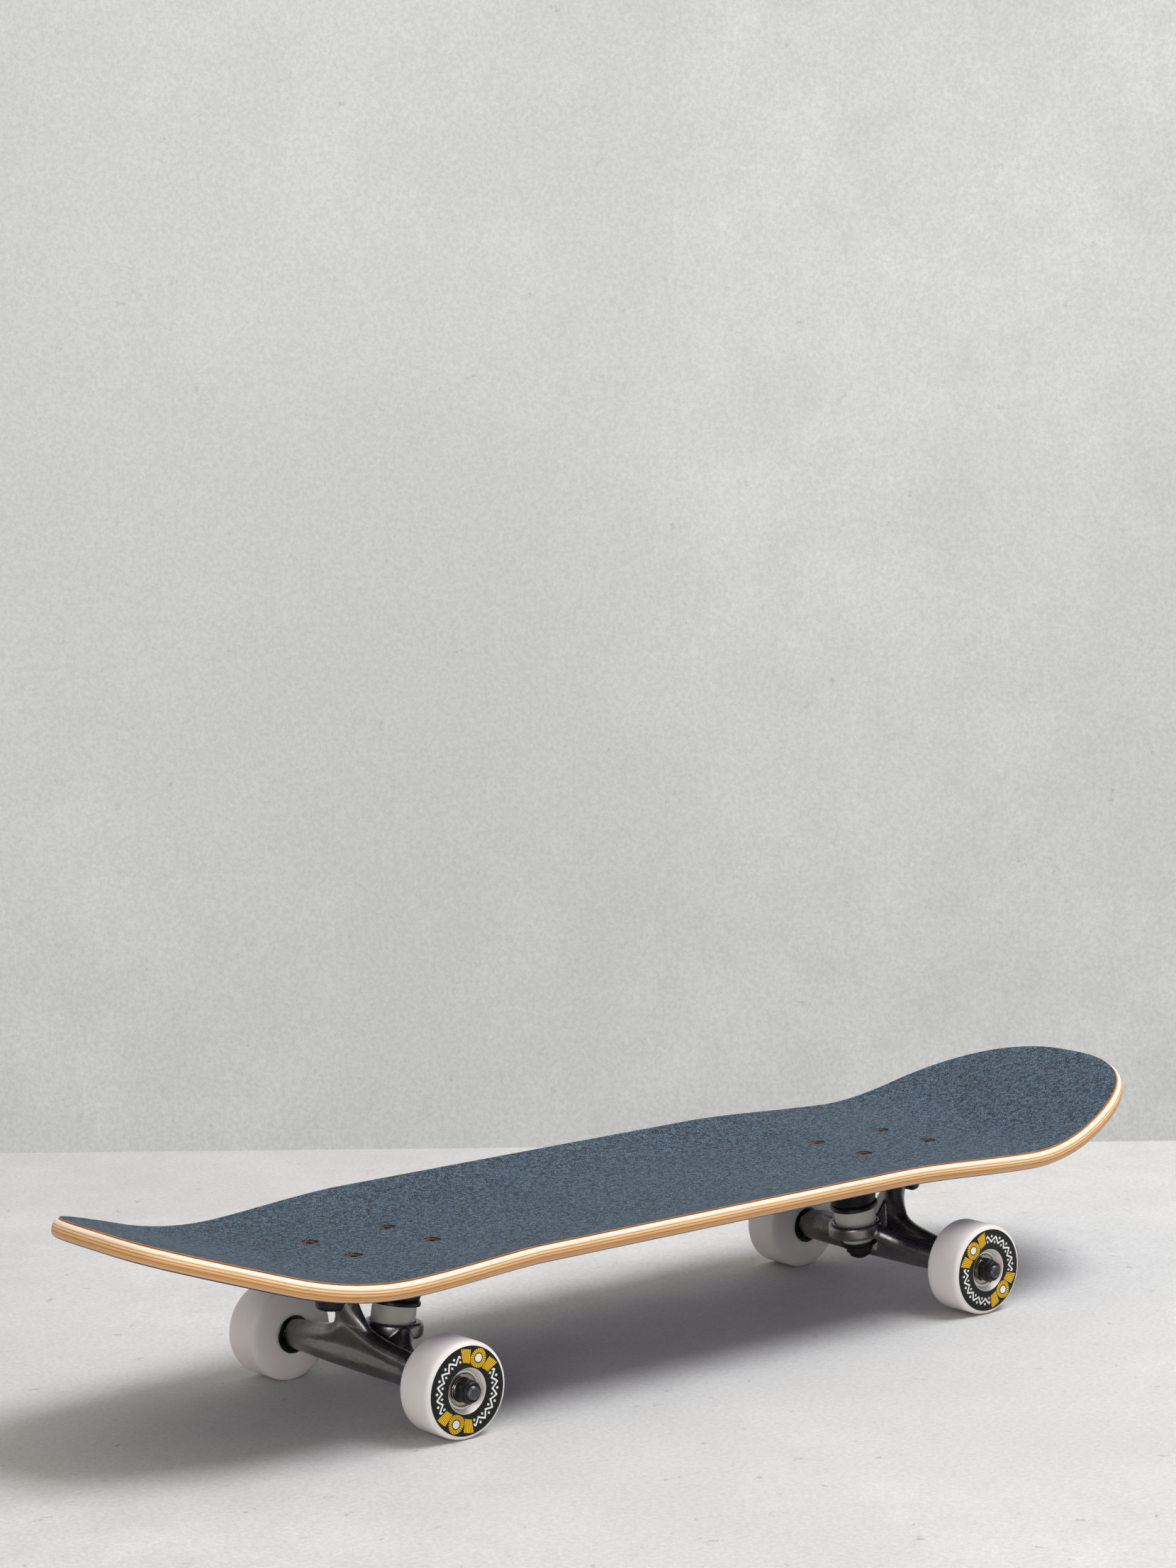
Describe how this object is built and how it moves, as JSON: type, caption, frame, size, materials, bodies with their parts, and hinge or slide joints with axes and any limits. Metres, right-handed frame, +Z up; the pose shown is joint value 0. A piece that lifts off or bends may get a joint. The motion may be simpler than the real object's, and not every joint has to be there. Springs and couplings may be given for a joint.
{
  "type": "skateboard",
  "caption": "Street skateboard: a concave seven-ply deck with grip tape on two sprung steering trucks, each with two urethane wheels.",
  "frame": {"origin": "on the floor under the middle of the board's length and width", "axes": "+X along the board from nose to tail, +Y to the right of a rider who faces the nose, +Z up"},
  "size_m": [0.7514, 0.2, 0.1276],
  "materials": {
    "maple_veneer": "seven glued plies, sanded and lacquered edge",
    "grip_tape": "coarse grit on backing",
    "wheel_urethane": "cast urethane, satin",
    "bushing_urethane": "cast urethane, satin",
    "pivot_urethane": "cast urethane, satin",
    "cast_hanger": "tumbled casting with a dark satin coat",
    "cast_baseplate": "casting with a black coat",
    "bearing_steel": "ground steel",
    "bearing_shield": "pressed shield",
    "axle_steel": "oiled steel",
    "kingpin_steel": "oiled steel",
    "black_hardware": "black oxide steel"
  },
  "bodies": {
    "board": {"deck": "maple_veneer", "grip_tape": "grip_tape", "front_mounting_bolts": "black_hardware", "front_mounting_nuts": "black_hardware", "front_baseplate": "cast_baseplate", "front_pivot_cup": "pivot_urethane", "front_kingpin": "kingpin_steel", "front_kingpin_nut": "black_hardware", "front_boardside_washer": "black_hardware", "front_roadside_washer": "black_hardware", "front_boardside_bushing": "bushing_urethane", "front_roadside_bushing": "bushing_urethane", "rear_mounting_bolts": "black_hardware", "rear_mounting_nuts": "black_hardware", "rear_baseplate": "cast_baseplate", "rear_pivot_cup": "pivot_urethane", "rear_kingpin": "kingpin_steel", "rear_kingpin_nut": "black_hardware", "rear_boardside_washer": "black_hardware", "rear_roadside_washer": "black_hardware", "rear_boardside_bushing": "bushing_urethane", "rear_roadside_bushing": "bushing_urethane"},
    "front_hanger_body": {"front_hanger": "cast_hanger", "front_axle": "axle_steel", "front_speed_washers": "black_hardware", "front_axle_nuts": "black_hardware", "front_bearing_inner_races": "bearing_steel", "front_bearing_spacers": "bearing_steel"},
    "front_left_wheel_body": {"front_left_wheel": "wheel_urethane", "front_left_bearing_outer_races": "bearing_steel", "front_left_bearing_shields": "bearing_shield", "front_left_bearing_balls": "bearing_steel"},
    "front_right_wheel_body": {"front_right_wheel": "wheel_urethane", "front_right_bearing_outer_races": "bearing_steel", "front_right_bearing_shields": "bearing_shield", "front_right_bearing_balls": "bearing_steel"},
    "rear_hanger_body": {"rear_hanger": "cast_hanger", "rear_axle": "axle_steel", "rear_speed_washers": "black_hardware", "rear_axle_nuts": "black_hardware", "rear_bearing_inner_races": "bearing_steel", "rear_bearing_spacers": "bearing_steel"},
    "rear_left_wheel_body": {"rear_left_wheel": "wheel_urethane", "rear_left_bearing_outer_races": "bearing_steel", "rear_left_bearing_shields": "bearing_shield", "rear_left_bearing_balls": "bearing_steel"},
    "rear_right_wheel_body": {"rear_right_wheel": "wheel_urethane", "rear_right_bearing_outer_races": "bearing_steel", "rear_right_bearing_shields": "bearing_shield", "rear_right_bearing_balls": "bearing_steel"}
  },
  "joints": [
    {"name": "front_steer", "type": "hinge", "parent": "board", "child": "front_hanger_body", "pos_m": [-0.1767, 0, 0.04075], "axis": [-0.829, 0, 0.5592], "range_deg": [-12, 12], "stiffness_Nm_per_rad": 60, "deforming": ["front_boardside_bushing", "front_roadside_bushing"]},
    {"name": "front_left_wheel_spin", "type": "hinge", "parent": "front_hanger_body", "child": "front_left_wheel_body", "pos_m": [-0.1966, -0.0777, 0.02725], "axis": [0, 1, 0], "continuous": true},
    {"name": "front_right_wheel_spin", "type": "hinge", "parent": "front_hanger_body", "child": "front_right_wheel_body", "pos_m": [-0.1966, 0.0777, 0.02725], "axis": [0, 1, 0], "continuous": true},
    {"name": "rear_steer", "type": "hinge", "parent": "board", "child": "rear_hanger_body", "pos_m": [0.18128, 0, 0.04075], "axis": [0.829, 0, 0.5592], "range_deg": [-12, 12], "stiffness_Nm_per_rad": 60, "deforming": ["rear_boardside_bushing", "rear_roadside_bushing"]},
    {"name": "rear_left_wheel_spin", "type": "hinge", "parent": "rear_hanger_body", "child": "rear_left_wheel_body", "pos_m": [0.20118, -0.0777, 0.02725], "axis": [0, 1, 0], "continuous": true},
    {"name": "rear_right_wheel_spin", "type": "hinge", "parent": "rear_hanger_body", "child": "rear_right_wheel_body", "pos_m": [0.20118, 0.0777, 0.02725], "axis": [0, 1, 0], "continuous": true}
  ]
}
